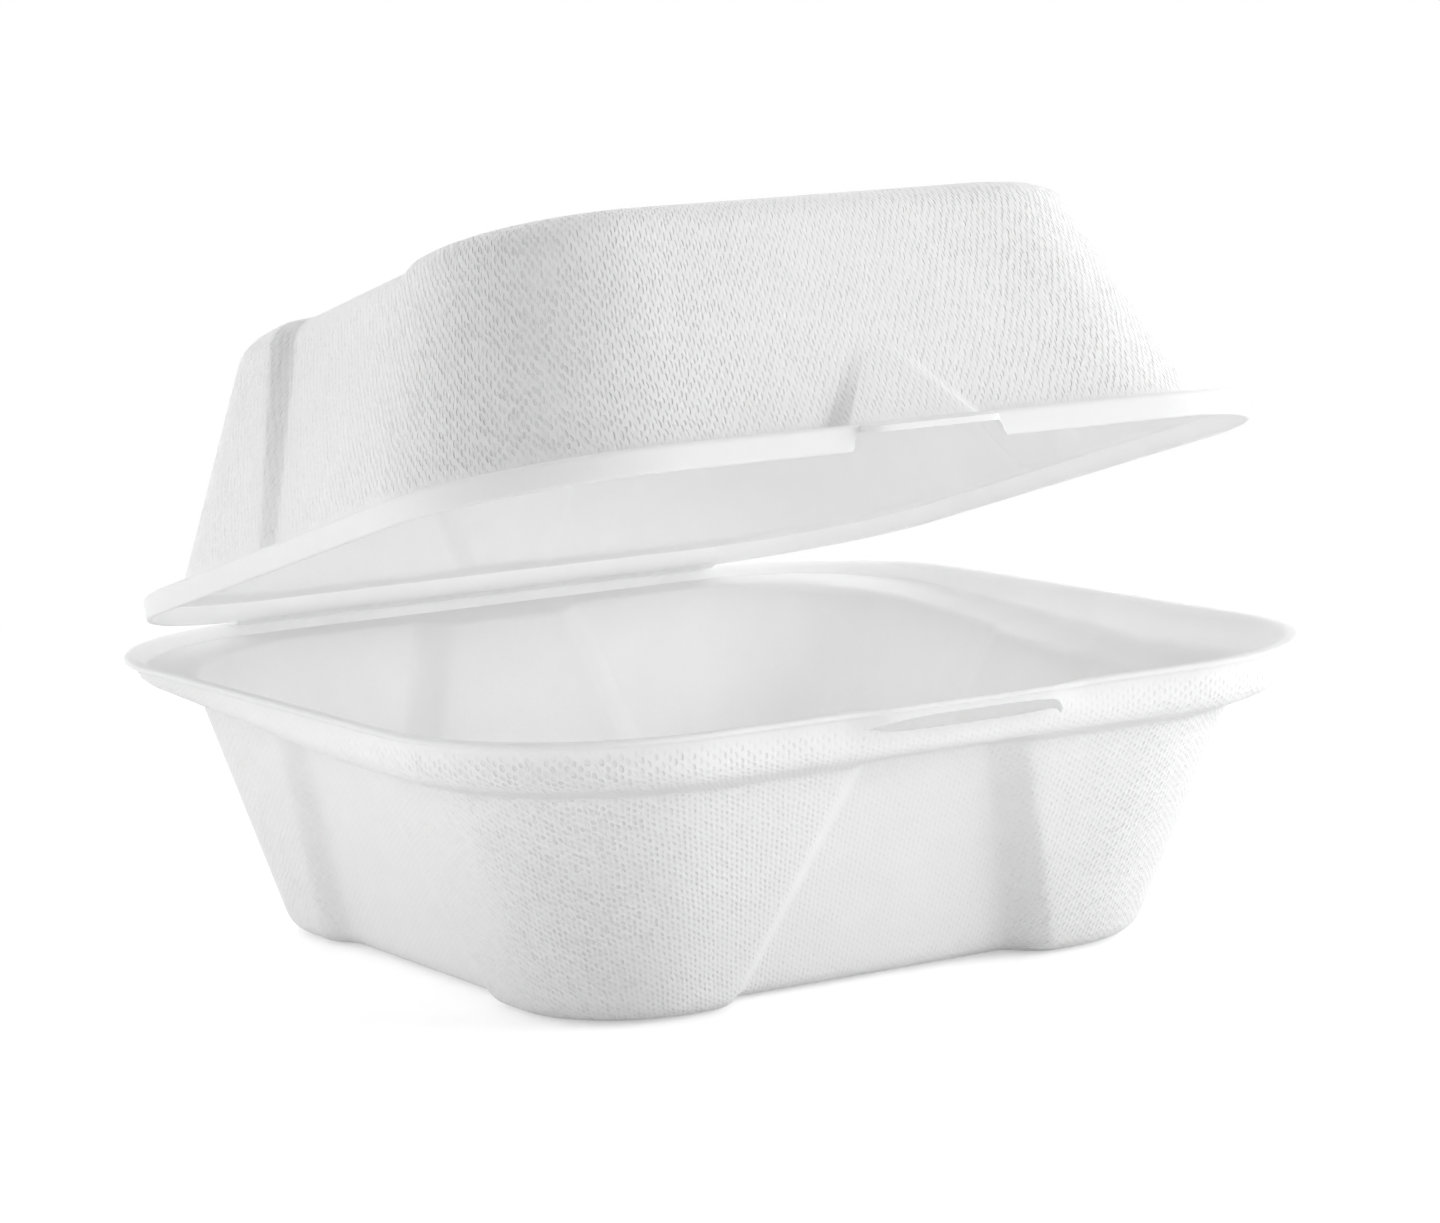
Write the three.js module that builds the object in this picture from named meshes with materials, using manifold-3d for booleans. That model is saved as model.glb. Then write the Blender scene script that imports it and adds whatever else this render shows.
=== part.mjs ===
// A takeaway burger box moulded from plant fibre: a square tray and a domed lid, joined along the back by a crease.
// Millimetres, +Z up. The origin is the middle of the tray's flat underside, -Y is the front and the lid stands half open.
import * as THREE from "three";
import { mergeVertices } from "three/addons/utils/BufferGeometryUtils.js";
import Module from "manifold-3d";

const wasm = await Module();
wasm.setup();

// The moulded sheet
const SHEET = 0.9;
const CLEARANCE = 0.35;

// The tray's rim, the shoulder under it and the flat bottom
const TRAY_HALF = 75.25;
const TRAY_HEIGHT = 44.8;
const RIM_RADIUS = 34.5;
const LIP_WIDTH = 2;
const LIP_CURL = 0.2;
const BACK_LIP_WIDTH = 0.4;
const SHOULDER_DROP = 9.5;
const SHOULDER_BACK_DROP = 3.3;
const SHOULDER_RISE_FROM_Y = -20;
const SHOULDER_LEAN = 0.5;
const SHOULDER_ROUND = 2;
const LEDGE_START_INSET = 4.6;
const LEDGE_FALL = 2.2;
const LEDGE_INSET = 9.3;
const LEDGE_ROUND = 1.2;
const LEDGE_RADIUS = 28.4;
const TRAY_WALL_INSET = 21.6;
const TRAY_BOTTOM_INSET = 25.4;
const TRAY_BOTTOM_RADIUS = 17;
const TRAY_BACK_WALL_SHIFT = 3;
const TRAY_FILLET = 4.2;

// The hollow panel pressed into each wall of the tray, narrow at the top, and shallower in the sides
const TRAY_PANEL_TOP = 16;
const TRAY_PANEL_BOTTOM = 29;
const TRAY_PANEL_FACET = 6.5;
const TRAY_PANEL_DEPTH = 4;
const TRAY_PANEL_FOOT_DEPTH = 5.2;
const TRAY_SIDE_PANEL_SHARE = 0.5;

// The lid's skirt, its flange and its dome
const LID_HALF = 71.1;
const LID_DEPTH_TRIM = 0.5;
const LID_RADIUS = 30.5;
const SKIRT_DROP = 3.9;
const SKIRT_ROUND = 0.9;
const FLANGE_SIDE = 2.7;
const FLANGE_FRONT = 6;
const FLANGE_BACK = 8.6;
const FOOT_RADIUS = 32;
const FOOT_ROUND = 0.7;
const DOME_HEIGHT = 36.8;
const DOME_WALL_INSET = 16.2;
const DOME_TOP_INSET = 22.4;
const DOME_TOP_RADIUS = 20;
const DOME_FILLET = 6;

// The hollow panels in the dome's sides and back, and the small raised gusset above the tongue
const LID_PANEL_FOOT = 9.5;
const LID_PANEL_TOP = 25;
const LID_PANEL_FACET = 4;
const LID_PANEL_FOOT_DEPTH = 1.4;
const LID_PANEL_TOP_DEPTH = 3.2;
const GUSSET_FOOT = 14;
const GUSSET_TOP = 4.5;
const GUSSET_FACET = 3.5;
const GUSSET_HEIGHT = 12;
const GUSSET_RISE = 2.4;

// The latch: a tongue on the lid's front edge that drops behind a bar and through a slot in the tray's shoulder
const TONGUE_HALF = 11.2;
const TONGUE_REACH = 3;
const TONGUE_DROP = 1;
const TONGUE_CORNER = 2.4;
const TONGUE_ROOT = 2;
const TONGUE_SINK = 0.02;
const NOTCH_GAP = 1.3;
const SLOT_HALF = 16.5;
const SLOT_HEIGHT = 1.8;
const SLOT_DEPTH_FROM_RIM = 3;
const BAR_HALF = 21;
const BAR_EASE = 9;
const BAR_LIP_SHARE = 0.5;

// The crease that the lid turns on, and how far it stands open
const HINGE_FROM_RIM_EDGE = 2.65;
const HINGE_ABOVE_RIM = 0.4;
const LID_BACK_GAP = 2.82;
const LID_RISE = 3.31;
const LEAF_HALF = 45;
const LEAF_SHEET = 0.75;
const LEAF_BELOW_AXIS = 0.45;
const LEAF_GAP = 0.6;
const OPEN_ANGLE = 14.1;

// How finely the solids are cut
const CORNER_STEPS = 6;
const FLOOR_STEPS = 3;
const WALL_STEPS = [0.36, 0.7];
const KNEE_IN = 0.23;
const KNEE_UP = 0.35;
const EDGE_EASE = 0.3;
const LEAST_FLAT = 0.08;

const SHOULDER_Z = TRAY_HEIGHT - SHOULDER_DROP;
const LEDGE_START_Z = SHOULDER_Z + LEDGE_FALL;
const LIP_Z = TRAY_HEIGHT - SHEET - LIP_CURL;
const SLOT_Z = TRAY_HEIGHT - SLOT_DEPTH_FROM_RIM;
const HINGE_Y = TRAY_HALF - HINGE_FROM_RIM_EDGE;
const HINGE_Z = TRAY_HEIGHT + HINGE_ABOVE_RIM;
const LID_HALF_DEEP = LID_HALF - LID_DEPTH_TRIM;
const LID_REACH = LID_BACK_GAP + LID_HALF_DEEP;
const TONGUE_TIP_Y = HINGE_Y - LID_REACH - LID_HALF_DEEP - TONGUE_REACH;
const SHOULDER_INNER_Y = -(TRAY_HALF - LIP_WIDTH - SHEET);
const BAR_BULGE = SHOULDER_INNER_Y - TONGUE_TIP_Y + CLEARANCE;

const { lerp, clamp, smoothstep, degToRad } = THREE.MathUtils;
const SIDES = ["front", "right", "back", "left"];

// Half the width of a panel's flat middle, between its two slanted facets.
const flatHalf = (panel) => Math.max(panel.half - panel.facet, panel.half * LEAST_FLAT);

// Distances from a side's middle at which it has points: over the flat, up each facet and on to the corner.
function stationsAcross(straight, panel) {
  const flat = flatHalf(panel);
  const facet = panel.half - flat;
  const right = [
    flat / 2,
    flat,
    flat + facet / 3,
    flat + (2 * facet) / 3,
    panel.half,
    (panel.half + straight) / 2,
    straight,
  ];
  return [...right.toReversed().map((s) => -s), 0, ...right];
}

// How far a panel is pressed in at a distance s from its middle.
function pressed(s, panel) {
  return panel.depth * (1 - smoothstep(Math.abs(s), flatHalf(panel), panel.half));
}

// One closed ring of a shell: a rounded square with a panel on each side, seen from above, anticlockwise.
function ringPoints(level) {
  const { inset, radius, z, half, panels } = level;
  const reach = (side) => half - inset[side];
  const corner = {
    front: new THREE.Vector2(reach("right") - radius, -(reach("front") - radius)),
    right: new THREE.Vector2(reach("right") - radius, reach("back") - radius),
    back: new THREE.Vector2(-(reach("left") - radius), reach("back") - radius),
    left: new THREE.Vector2(-(reach("left") - radius), -(reach("front") - radius)),
  };
  const points = [];
  SIDES.forEach((side, i) => {
    const before = corner[SIDES[(i + 3) % 4]];
    const after = corner[side];
    const along = new THREE.Vector2(Math.cos((i * Math.PI) / 2), Math.sin((i * Math.PI) / 2));
    const inward = new THREE.Vector2(-along.y, along.x);
    const first = before.dot(along);
    const last = after.dot(along);
    const middle = (first + last) / 2;
    const wall = after.dot(inward) - radius;
    const panel = panels[side];
    for (const s of stationsAcross((last - first) / 2, panel)) {
      const at = wall + pressed(s, panel);
      points.push(new THREE.Vector2(
        along.x * (middle + s) + inward.x * at,
        along.y * (middle + s) + inward.y * at,
      ));
    }
    for (let k = 1; k < CORNER_STEPS; k++) {
      const turn = (i * Math.PI) / 2 - Math.PI / 2 + (k / CORNER_STEPS) * (Math.PI / 2);
      points.push(new THREE.Vector2(
        after.x + radius * Math.cos(turn),
        after.y + radius * Math.sin(turn),
      ));
    }
  });
  return points.map((p) => new THREE.Vector3(p.x, p.y, z(p)));
}

// Joins rings into one closed shell, from the middle of its upper face out to the edge and back under it.
function shell(rings) {
  const capped = [...shrunk(rings[0]).toReversed(), ...rings, ...shrunk(rings.at(-1))];
  const size = rings[0].length;
  const vertices = capped.flat();
  const faces = [];
  for (let j = 0; j + 1 < capped.length; j++)
    for (let i = 0; i < size; i++) {
      const a = j * size + i;
      const b = j * size + ((i + 1) % size);
      faces.push([a, b + size, b], [a, a + size, b + size]);
    }
  const position = faces.flat().flatMap((v) => vertices[v].toArray());
  const geometry = new THREE.BufferGeometry();
  geometry.setAttribute("position", new THREE.Float32BufferAttribute(position, 3));
  return solidOf(geometry);
}

// Rings from a given one down to its middle.
function shrunk(ring) {
  const middle = ring.reduce((sum, p) => sum.add(p), new THREE.Vector3()).divideScalar(ring.length);
  const steps = [];
  for (let k = 1; k <= FLOOR_STEPS; k++)
    steps.push(ring.map((p) => p.clone().lerp(middle, k / FLOOR_STEPS)));
  return steps;
}

// A closed three.js geometry as a solid, turned to face out.
function solidOf(geometry) {
  const bare = geometry.index ? geometry.toNonIndexed() : geometry.clone();
  bare.deleteAttribute("normal");
  bare.deleteAttribute("uv");
  const merged = mergeVertices(bare, 1e-3);
  const triVerts = new Uint32Array(merged.index.array);
  const kept = [];
  for (let i = 0; i < triVerts.length; i += 3) {
    const [a, b, c] = triVerts.subarray(i, i + 3);
    if (a !== b && b !== c && c !== a) kept.push(a, b, c);
  }
  return new wasm.Manifold(new wasm.Mesh({
    numProp: 3,
    vertProperties: merged.attributes.position.array,
    triVerts: new Uint32Array(kept),
  }));
}

// A solid as a named three.js mesh.
function meshOf(name, solid, material) {
  const { vertProperties, triVerts } = solid.getMesh();
  const geometry = new THREE.BufferGeometry();
  geometry.setAttribute("position", new THREE.Float32BufferAttribute(vertProperties, 3));
  geometry.setIndex(new THREE.Uint32BufferAttribute(triVerts, 1));
  geometry.computeVertexNormals();
  const mesh = new THREE.Mesh(geometry, material);
  mesh.name = name;
  return mesh;
}

// A profile moved by the sheet's thickness to its own left, with each corner on the bisector.
function offsetProfile(profile, distance) {
  return profile.map(([inset, z], i) => {
    const [i0, z0] = profile[Math.max(i - 1, 0)];
    const [i1, z1] = profile[Math.min(i + 1, profile.length - 1)];
    const before = new THREE.Vector2(inset - i0, z - z0).normalize();
    const after = new THREE.Vector2(i1 - inset, z1 - z).normalize();
    const along = before.add(after).normalize();
    return [inset - along.y * distance, z + along.x * distance];
  });
}

// The share of the way that a value lies between two others.
const share = (value, from, to) => clamp((value - from) / (to - from), 0, 1);

// The tray
function traySideShift(side, inset) {
  const down = share(inset, LEDGE_INSET, TRAY_BOTTOM_INSET);
  const atLedge = { front: -1, right: 1, back: 0, left: 1 }[side];
  const ledge = share(inset, LIP_WIDTH, LEDGE_INSET) * (1 - down) * atLedge;
  return side === "back" ? ledge - down * TRAY_BACK_WALL_SHIFT : ledge;
}

// The shoulder is shallow along the back, so what lies under the rim there is raised.
function trayRaise(p, z) {
  const atBack = share(p.y, SHOULDER_RISE_FROM_Y, TRAY_HALF - LEDGE_INSET);
  const drop = lerp(SHOULDER_DROP, SHOULDER_BACK_DROP, atBack);
  if (z >= LIP_Z) return z;
  if (z >= SHOULDER_Z) return lerp(LIP_Z, TRAY_HEIGHT - drop, share(z, LIP_Z, SHOULDER_Z));
  return (z * (TRAY_HEIGHT - drop)) / SHOULDER_Z;
}

// Above the ledge the front wall bulges out as a bar; from the ledge down every wall has its panel.
function trayPanel(side, inset, z) {
  if (z > LEDGE_START_Z) {
    const up = share(z, LEDGE_START_Z, SLOT_Z - SLOT_HEIGHT);
    const bar = side === "front" ? smoothstep(z, SLOT_Z - SLOT_HEIGHT, SLOT_Z + SLOT_HEIGHT / 2) : 0;
    return {
      half: lerp(TRAY_PANEL_TOP, BAR_HALF, up),
      facet: lerp(TRAY_PANEL_FACET, BAR_EASE, up),
      depth: -BAR_BULGE * bar * lerp(BAR_LIP_SHARE, 1, share(inset, 0, LIP_WIDTH)),
    };
  }
  const down = share(z, SHOULDER_Z, 0);
  const deepest = lerp(TRAY_PANEL_DEPTH, TRAY_PANEL_FOOT_DEPTH, down);
  return {
    half: lerp(TRAY_PANEL_TOP, TRAY_PANEL_BOTTOM, down),
    facet: TRAY_PANEL_FACET,
    depth: deepest * (side === "left" || side === "right" ? TRAY_SIDE_PANEL_SHARE : 1)
      * share(inset, LEDGE_START_INSET, LEDGE_INSET),
  };
}

function trayLevel([inset, z], [faceInset, faceZ]) {
  const sides = (value) => Object.fromEntries(SIDES.map((side) => [side, value(side)]));
  const radius = inset < LEDGE_INSET
    ? lerp(RIM_RADIUS, LEDGE_RADIUS, share(inset, 0, LEDGE_INSET))
    : lerp(LEDGE_RADIUS, TRAY_BOTTOM_RADIUS, share(inset, LEDGE_INSET, TRAY_BOTTOM_INSET));
  const backLip = Math.max(LIP_WIDTH - BACK_LIP_WIDTH - faceInset, 0);
  return {
    half: TRAY_HALF,
    radius: radius - (faceInset - inset),
    inset: sides((side) => faceInset + traySideShift(side, inset) + (side === "back" ? backLip : 0)),
    panels: sides((side) => trayPanel(side, inset, z)),
    z: (p) => faceZ - z + trayRaise(p, z),
  };
}

function makeTray() {
  const outside = [
    [0, TRAY_HEIGHT],
    [0, TRAY_HEIGHT - SHEET],
    [LIP_WIDTH, LIP_Z],
    [LIP_WIDTH + SHOULDER_LEAN * 0.2, SLOT_Z + SLOT_HEIGHT / 2],
    [LIP_WIDTH + SHOULDER_LEAN * 0.4, SLOT_Z - SLOT_HEIGHT / 2],
    [LIP_WIDTH + SHOULDER_LEAN, LEDGE_START_Z + SHOULDER_ROUND],
    [LIP_WIDTH + SHOULDER_LEAN + SHOULDER_ROUND * 0.3, LEDGE_START_Z + SHOULDER_ROUND * 0.4],
    [LEDGE_START_INSET, LEDGE_START_Z],
    [LEDGE_INSET, SHOULDER_Z],
    [LEDGE_INSET + LEDGE_ROUND / 2, SHOULDER_Z - LEDGE_ROUND],
    ...WALL_STEPS.map((down) => [
      lerp(LEDGE_INSET, TRAY_WALL_INSET, down),
      lerp(SHOULDER_Z, TRAY_FILLET, down),
    ]),
    [TRAY_WALL_INSET, TRAY_FILLET],
    [lerp(TRAY_WALL_INSET, TRAY_BOTTOM_INSET, KNEE_IN), TRAY_FILLET * KNEE_UP],
    [TRAY_BOTTOM_INSET, 0],
  ];
  const inside = offsetProfile(outside, SHEET).map(([inset, z], i) => {
    if (i === 0) return [LIP_WIDTH + SHEET - EDGE_EASE, TRAY_HEIGHT];
    if (i <= 2) return [LIP_WIDTH + SHEET, TRAY_HEIGHT - EDGE_EASE * i];
    return [inset, z];
  });
  const levels = [
    ...inside.map((face, i) => trayLevel(outside[i], face)).toReversed(),
    ...outside.map((face) => trayLevel(face, face)),
  ];
  const slot = new THREE.BoxGeometry(2 * SLOT_HALF, 4 * LIP_WIDTH, SLOT_HEIGHT);
  slot.translate(0, -TRAY_HALF + LIP_WIDTH, SLOT_Z);
  return shell(levels.map(ringPoints)).subtract(solidOf(slot));
}

// The lid, in a frame of its own whose origin is the middle of the flange's top face
function lidPanel(side, z) {
  if (side === "front")
    return {
      half: lerp(GUSSET_FOOT, GUSSET_TOP, share(z, 0, GUSSET_HEIGHT)),
      facet: GUSSET_FACET,
      depth: -GUSSET_RISE * (1 - share(z, 0, GUSSET_HEIGHT)),
    };
  const up = share(z, 0, DOME_HEIGHT);
  return {
    half: lerp(LID_PANEL_FOOT, LID_PANEL_TOP, up),
    facet: LID_PANEL_FACET,
    depth: lerp(LID_PANEL_FOOT_DEPTH, LID_PANEL_TOP_DEPTH, up),
  };
}

function lidLevel([inset, z, onDome], [faceInset, faceZ]) {
  const sides = (value) => Object.fromEntries(SIDES.map((side) => [side, value(side)]));
  const extra = { front: FLANGE_FRONT, right: FLANGE_SIDE, back: FLANGE_BACK, left: FLANGE_SIDE };
  const fade = onDome ? 1 - share(z, 0, DOME_HEIGHT) : 0;
  const atFoot = lerp(FOOT_RADIUS, DOME_TOP_RADIUS, share(inset, FLANGE_SIDE, DOME_TOP_INSET));
  return {
    half: LID_HALF,
    radius: (onDome ? atFoot : LID_RADIUS) - (faceInset - inset),
    inset: sides((side) => faceInset + fade * (extra[side] - FLANGE_SIDE)
      + (side === "front" || side === "back" ? LID_DEPTH_TRIM : 0)),
    panels: sides((side) => {
      const panel = lidPanel(side, z);
      return onDome ? panel : { ...panel, depth: 0 };
    }),
    z: () => faceZ,
  };
}

function makeTongue() {
  const tip = LID_HALF_DEEP + TONGUE_REACH;
  const root = LID_HALF_DEEP - TONGUE_ROOT;
  const outline = new THREE.Shape();
  outline.moveTo(-TONGUE_HALF, -root);
  outline.lineTo(-TONGUE_HALF, -tip + TONGUE_CORNER);
  outline.quadraticCurveTo(-TONGUE_HALF, -tip, -TONGUE_HALF + TONGUE_CORNER, -tip);
  outline.lineTo(TONGUE_HALF - TONGUE_CORNER, -tip);
  outline.quadraticCurveTo(TONGUE_HALF, -tip, TONGUE_HALF, -tip + TONGUE_CORNER);
  outline.lineTo(TONGUE_HALF, -root);
  const tongue = new THREE.ExtrudeGeometry(outline, { depth: SHEET, bevelEnabled: false, curveSegments: 4 });
  tongue.translate(0, 0, -SHEET);
  const position = tongue.getAttribute("position");
  for (let i = 0; i < position.count; i++) {
    const out = share(-position.getY(i), root, tip);
    position.setZ(i, position.getZ(i) - TONGUE_SINK - TONGUE_DROP * out);
  }
  return solidOf(tongue);
}

// The thin leaf behind the skirt, which runs back to the crease.
function makeLeaf() {
  const front = LID_BACK_GAP + SHEET / 2;
  const leaf = new THREE.BoxGeometry(2 * LEAF_HALF, front - LEAF_GAP, LEAF_SHEET);
  const middle = LEAF_SHEET / 2 - LEAF_BELOW_AXIS - LID_RISE;
  leaf.translate(0, LID_REACH - (front + LEAF_GAP) / 2, middle);
  return solidOf(leaf);
}

function makeLid() {
  const wallTop = DOME_HEIGHT - DOME_FILLET;
  const outside = [
    [0, -SKIRT_DROP],
    [0, -SKIRT_ROUND],
    [SKIRT_ROUND * 0.3, -SKIRT_ROUND * 0.3],
    [SKIRT_ROUND, 0],
    [FLANGE_SIDE - FOOT_ROUND, 0, true],
    [FLANGE_SIDE, FOOT_ROUND * 0.4, true],
    [FLANGE_SIDE + FOOT_ROUND, FOOT_ROUND * 2.3, true],
    [lerp(FLANGE_SIDE, DOME_WALL_INSET, WALL_STEPS[0]), GUSSET_HEIGHT, true],
    [lerp(FLANGE_SIDE, DOME_WALL_INSET, WALL_STEPS[1]), (GUSSET_HEIGHT + wallTop) / 2, true],
    [DOME_WALL_INSET, wallTop, true],
    [lerp(DOME_WALL_INSET, DOME_TOP_INSET, KNEE_IN), DOME_HEIGHT - DOME_FILLET * KNEE_UP, true],
    [DOME_TOP_INSET, DOME_HEIGHT, true],
  ];
  const inside = offsetProfile(outside, -SHEET);
  inside[0][1] = -SKIRT_DROP;
  const levels = [
    ...outside.map((face) => lidLevel(face, face)).toReversed(),
    ...inside.map((face, i) => lidLevel(outside[i], face)),
  ];
  const notch = new THREE.BoxGeometry(2 * (TONGUE_HALF + NOTCH_GAP), 4 * SHEET, SKIRT_DROP);
  notch.translate(0, -LID_HALF_DEEP, -SHEET - SKIRT_DROP / 2);
  return shell(levels.map(ringPoints)).subtract(solidOf(notch)).add(makeTongue()).add(makeLeaf());
}

const fibre = new THREE.MeshStandardMaterial({ color: 0xf1f1ee, roughness: 0.92, metalness: 0 });

const box = new THREE.Group();
box.add(meshOf("tray", makeTray(), fibre));

const lidTurn = new THREE.Group();
lidTurn.position.set(0, HINGE_Y, HINGE_Z);
lidTurn.rotation.x = -degToRad(OPEN_ANGLE);
const lid = meshOf("lid", makeLid(), fibre);
lid.position.set(0, -LID_REACH, LID_RISE);
lidTurn.add(lid);
box.add(lidTurn);

export default box;
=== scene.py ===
# %% [markdown]
# A burger box is pressed from wet plant fibre against a wire screen, then dried. The result is one thin
# white sheet: a deep tray and a domed lid that share a crease along the back. This lesson builds both
# halves from rounded squares stacked into shells, because a moulded sheet is exactly that: one outline that
# shrinks and changes as it goes down, with the same thickness everywhere.

# %% Load the frame
import math
import bmesh
import bpy
import numpy as np
from mathutils import Matrix, Vector


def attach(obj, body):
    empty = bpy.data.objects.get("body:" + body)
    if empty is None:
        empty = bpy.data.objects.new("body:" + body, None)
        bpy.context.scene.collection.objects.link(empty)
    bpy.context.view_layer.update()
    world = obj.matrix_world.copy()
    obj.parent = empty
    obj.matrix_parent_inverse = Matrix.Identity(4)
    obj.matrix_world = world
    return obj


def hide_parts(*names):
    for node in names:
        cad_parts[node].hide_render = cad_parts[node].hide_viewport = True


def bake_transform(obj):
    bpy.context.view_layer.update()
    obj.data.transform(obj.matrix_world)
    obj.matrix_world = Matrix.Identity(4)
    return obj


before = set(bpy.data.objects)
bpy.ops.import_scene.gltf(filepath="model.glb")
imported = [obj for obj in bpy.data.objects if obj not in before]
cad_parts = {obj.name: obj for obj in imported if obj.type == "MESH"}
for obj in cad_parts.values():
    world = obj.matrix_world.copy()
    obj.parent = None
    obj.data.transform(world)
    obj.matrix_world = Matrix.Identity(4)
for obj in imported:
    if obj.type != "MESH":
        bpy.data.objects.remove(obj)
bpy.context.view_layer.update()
MM = 0.001

# %% [markdown]
# The camera comes first, so that every render already has the photograph's view. It stands low and to
# the left, a good half metre away, with a long lens, which is why the box looks nearly free of perspective.
# A camera that is turned and tilted needs three directions: back towards the camera, to its right, and up.

# %% The camera
CAMERA_AZIMUTH = math.radians(-30.61)
CAMERA_ELEVATION = math.radians(8.11)
CAMERA_ROLL = math.radians(-2.46)
CAMERA_DISTANCE = 0.7065
CAMERA_TARGET = Vector((0, 0, 0.03))
CAMERA_SIDE_STEP = 0.00285
CAMERA_RISE = 0.01895
LENS_MM = 114.7
SENSOR_MM = 36


def photo_camera():
    back = Vector((
        math.sin(CAMERA_AZIMUTH) * math.cos(CAMERA_ELEVATION),
        -math.cos(CAMERA_AZIMUTH) * math.cos(CAMERA_ELEVATION),
        math.sin(CAMERA_ELEVATION),
    ))
    level_right = Vector((0, 0, 1)).cross(back).normalized()
    level_up = back.cross(level_right)
    right = level_right * math.cos(CAMERA_ROLL) + level_up * math.sin(CAMERA_ROLL)
    up = back.cross(right)
    data = bpy.data.cameras.new("photo_camera")
    data.lens = LENS_MM
    data.sensor_width = SENSOR_MM
    data.sensor_fit = "HORIZONTAL"
    data.clip_start = 0.01
    camera = bpy.data.objects.new("photo_camera", data)
    bpy.context.scene.collection.objects.link(camera)
    turn = Matrix((right, up, back)).transposed().to_4x4()
    place = CAMERA_TARGET + back * CAMERA_DISTANCE + right * CAMERA_SIDE_STEP + up * CAMERA_RISE
    camera.matrix_world = Matrix.Translation(place) @ turn
    bpy.context.scene.camera = camera
    return camera


print("camera at", [round(v, 4) for v in photo_camera().matrix_world.translation])

# %% [markdown]
# Both halves are drawn in millimetres, as a mould maker would, and turned to metres at the end. A wall
# profile is a short list of corners, each with a radius. The function below walks along it and replaces
# each corner with an arc, so that the list stays short and the surface still comes out soft.

# %% Profiles with round corners
SHEET = 0.9
EDGE_STEPS = 6
ARC_STEP = math.radians(11)


def lerp(a, b, t):
    return a + (b - a) * t


def share(value, start, end):
    return np.clip((value - start) / (end - start), 0, 1)


def round_corner(before, corner, after, radius):
    """Points of the arc that replaces a corner of a path."""
    into = (corner - before) / np.linalg.norm(corner - before)
    out = (after - corner) / np.linalg.norm(after - corner)
    turn = math.acos(float(np.clip(into @ out, -1, 1)))
    if radius == 0 or turn < 0.01:
        return [corner]
    room = radius * math.tan(turn / 2)
    steps = max(2, int(turn / ARC_STEP) + 1)
    side = 1 if into[0] * out[1] - into[1] * out[0] > 0 else -1
    centre = corner - into * room + side * radius * np.array([-into[1], into[0]])
    first = corner - into * room - centre
    points = []
    for k in range(steps + 1):
        angle = side * turn * k / steps
        c, s = math.cos(angle), math.sin(angle)
        points.append(centre + np.array([c * first[0] - s * first[1], s * first[0] + c * first[1]]))
    return points


def soft_path(corners, longest):
    """A path through (inset, height, radius) corners, with arcs, and no step longer than the one given."""
    points = [np.array(corners[0][:2], float)]
    for i in range(1, len(corners) - 1):
        before, corner, after = (np.array(corners[k][:2], float) for k in (i - 1, i, i + 1))
        points += round_corner(before, corner, after, corners[i][2])
    points.append(np.array(corners[-1][:2], float))
    path = [points[0]]
    for point in points[1:]:
        count = max(1, math.ceil(np.linalg.norm(point - path[-1]) / longest))
        start = path[-1]
        path += [lerp(start, point, k / count) for k in range(1, count + 1)]
    return np.array(path)


def other_face(path, side):
    """The same path moved by the sheet's thickness, to its left or its right."""
    along = np.gradient(path, axis=0)
    along /= np.linalg.norm(along, axis=1)[:, None]
    return path + side * SHEET * np.stack([-along[:, 1], along[:, 0]], axis=1)


def round_edge(middle, first_angle, last_angle):
    """The trimmed edge of the sheet: a half circle from one face round to the other."""
    turns = np.radians(np.linspace(first_angle, last_angle, EDGE_STEPS + 1)[1:-1])
    return [(middle[0] + SHEET / 2 * math.cos(t), middle[1] + SHEET / 2 * math.sin(t)) for t in turns]


# %% [markdown]
# A ring is a rounded square seen from above, with a shallow panel pressed into each side. The panel's flat
# middle and its two slanted facets each get their own points, and these follow the panel as it widens from
# ring to ring, so the facets' edges run straight down the wall instead of stepping across it.

# %% Rings
SIDES = ("front", "right", "back", "left")
FLAT_POINTS, FACET_POINTS, PLAIN_POINTS, CORNER_POINTS = 8, 12, 9, 18
RAMP_END = 0.3
LEAST_FLAT = 0.08
SIDE_MIDDLE = FLAT_POINTS + FACET_POINTS + PLAIN_POINTS - 1
BACK_MIDDLE = 2 * (2 * SIDE_MIDDLE + CORNER_POINTS) + SIDE_MIDDLE


def facet_ramp(t):
    """From 0 to 1 with a straight middle and soft ends, as a pressed facet has."""
    t = np.clip(t, 0, 1)
    rise = 1 - RAMP_END
    start = t * t / (2 * RAMP_END)
    end = rise - (1 - t) ** 2 / (2 * RAMP_END)
    return np.where(t < RAMP_END, start, np.where(t > 1 - RAMP_END, end, t - RAMP_END / 2)) / rise


def stations(straight, half, flat):
    right = np.concatenate([
        np.linspace(0, flat, FLAT_POINTS, endpoint=False),
        np.linspace(flat, half, FACET_POINTS, endpoint=False),
        np.linspace(half, straight, PLAIN_POINTS),
    ])
    return np.concatenate([-right[:0:-1], right])


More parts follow.
